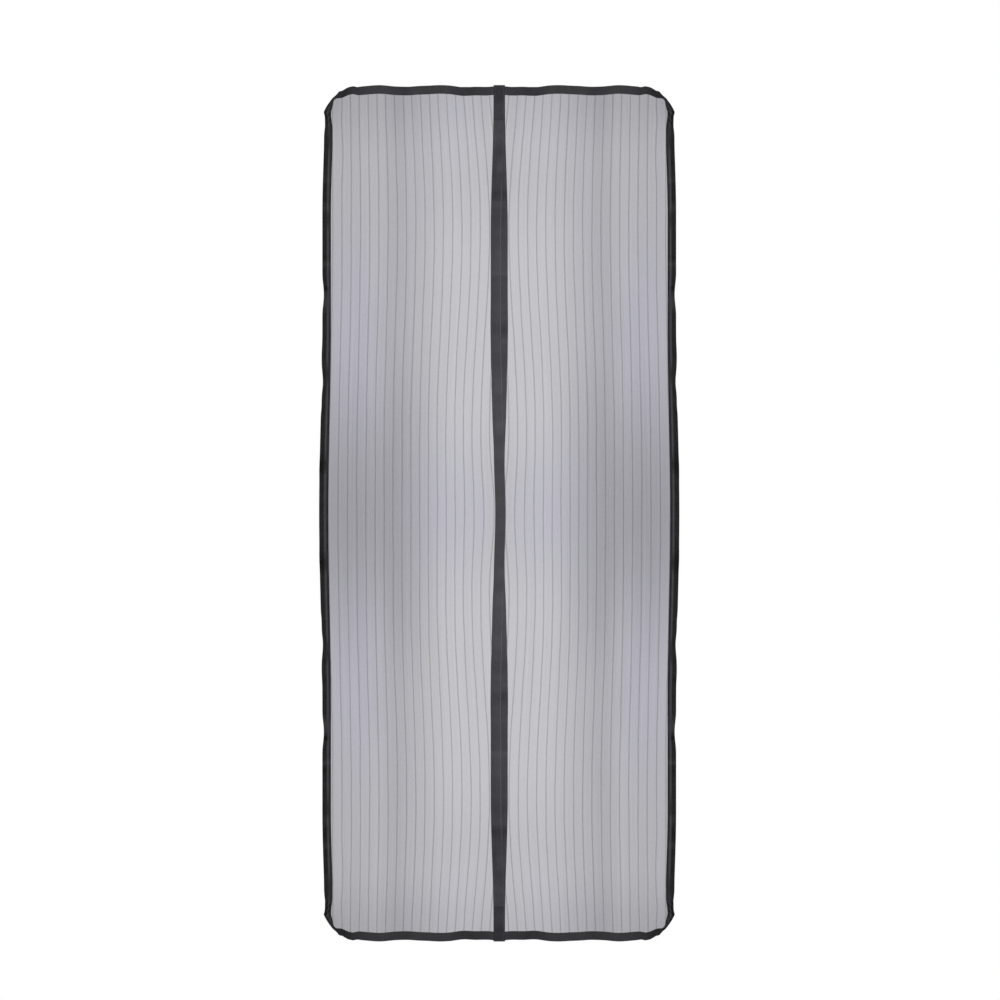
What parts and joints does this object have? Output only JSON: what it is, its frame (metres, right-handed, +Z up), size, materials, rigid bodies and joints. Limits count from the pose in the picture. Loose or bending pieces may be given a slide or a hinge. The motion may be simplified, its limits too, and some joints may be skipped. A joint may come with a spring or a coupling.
{
  "type": "door insect screen",
  "caption": "See-through mesh curtain for a doorway: overlapping leaves bound in tape, held shut by sewn-in magnets and hung on hook-and-loop strips.",
  "frame": {"origin": "middle of the back face of the head hook strip, the face that sticks to the door frame's head", "axes": "+X to the right as seen from the front, +Y backwards into the door frame, +Z up; the curtain hangs down from the origin"},
  "size_m": [0.887, 0.0104, 2.1044],
  "materials": {
    "mesh": "fine black polyester net, see-through, with darker woven stripes",
    "edge_tape": "woven black polyester tape, matt",
    "centre_tape": "woven black polyester tape, matt, a little lighter than the edge tape",
    "magnet": "plastic-bonded ferrite bar",
    "loop": "napped loop strip",
    "hook": "moulded hooks on an adhesive-backed strip"
  },
  "bodies": {
    "root": {"left_mesh_panel": "mesh", "left_side_binding": "edge_tape", "left_top_binding": "edge_tape", "left_bottom_binding": "edge_tape", "left_centre_binding": "centre_tape", "left_magnet_01": "magnet", "left_magnet_02": "magnet", "left_magnet_03": "magnet", "left_magnet_04": "magnet", "left_magnet_05": "magnet", "left_magnet_06": "magnet", "left_magnet_07": "magnet", "left_magnet_08": "magnet", "left_magnet_09": "magnet", "left_magnet_10": "magnet", "left_magnet_11": "magnet", "left_magnet_12": "magnet", "left_side_loop_strip": "loop", "left_head_loop_strip": "loop", "left_side_hook_strip": "hook", "right_mesh_panel": "mesh", "right_side_binding": "edge_tape", "right_top_binding": "edge_tape", "right_bottom_binding": "edge_tape", "right_centre_binding": "centre_tape", "right_magnet_01": "magnet", "right_magnet_02": "magnet", "right_magnet_03": "magnet", "right_magnet_04": "magnet", "right_magnet_05": "magnet", "right_magnet_06": "magnet", "right_magnet_07": "magnet", "right_magnet_08": "magnet", "right_magnet_09": "magnet", "right_magnet_10": "magnet", "right_magnet_11": "magnet", "right_magnet_12": "magnet", "right_side_loop_strip": "loop", "right_head_loop_strip": "loop", "right_side_hook_strip": "hook", "head_hook_strip": "hook"}
  },
  "joints": []
}
